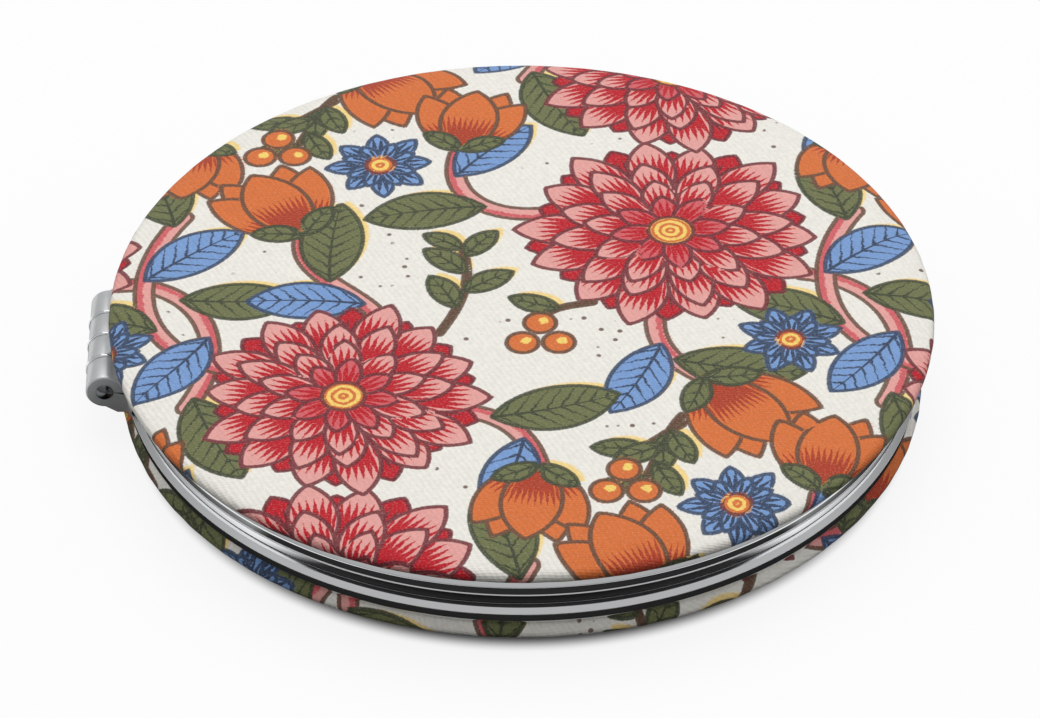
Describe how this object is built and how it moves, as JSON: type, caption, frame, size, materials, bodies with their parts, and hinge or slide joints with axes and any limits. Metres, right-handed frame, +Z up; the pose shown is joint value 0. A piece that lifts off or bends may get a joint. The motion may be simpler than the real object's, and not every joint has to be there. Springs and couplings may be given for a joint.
{
  "type": "compact mirror",
  "caption": "Round hinged compact mirror with padded fabric covers, chromed frames with a finger groove, plain and magnifying mirrors inside, and a pinned barrel hinge.",
  "frame": {"origin": "middle of the flat face under the base, on the axis of the round covers", "axes": "+Z up through the closed lid; the hinge axis lies along Y on the -X side"},
  "size_m": [0.072, 0.07, 0.0102],
  "materials": {
    "chrome": "polished",
    "hinge_metal": "satin",
    "printed_fabric": "matte",
    "foam": "matte",
    "mirror_glass": "polished",
    "mirror_tape": "matte",
    "cover_adhesive": "satin",
    "backing_board": "matte",
    "magnet": "satin"
  },
  "bodies": {
    "base": {"base_frame": "chrome", "base_mirror": "mirror_glass", "base_mirror_tape": "mirror_tape", "base_cover_adhesive": "cover_adhesive", "base_backing_board": "backing_board", "base_foam_pad": "foam", "base_fabric_cover": "printed_fabric", "base_magnet": "magnet", "base_hinge_leaf": "hinge_metal", "hinge_pin": "chrome", "hinge_washers": "chrome"},
    "lid": {"lid_frame": "chrome", "lid_mirror": "mirror_glass", "lid_mirror_tape": "mirror_tape", "lid_cover_adhesive": "cover_adhesive", "lid_backing_board": "backing_board", "lid_foam_pad": "foam", "lid_fabric_cover": "printed_fabric", "lid_magnet": "magnet", "lid_hinge_leaf": "hinge_metal"}
  },
  "joints": [
    {"name": "lid_hinge", "type": "hinge", "parent": "base", "child": "lid", "pos_m": [-0.0353, 0, 0.005], "axis": [0, -1, 0], "range_deg": [0, 180]}
  ]
}
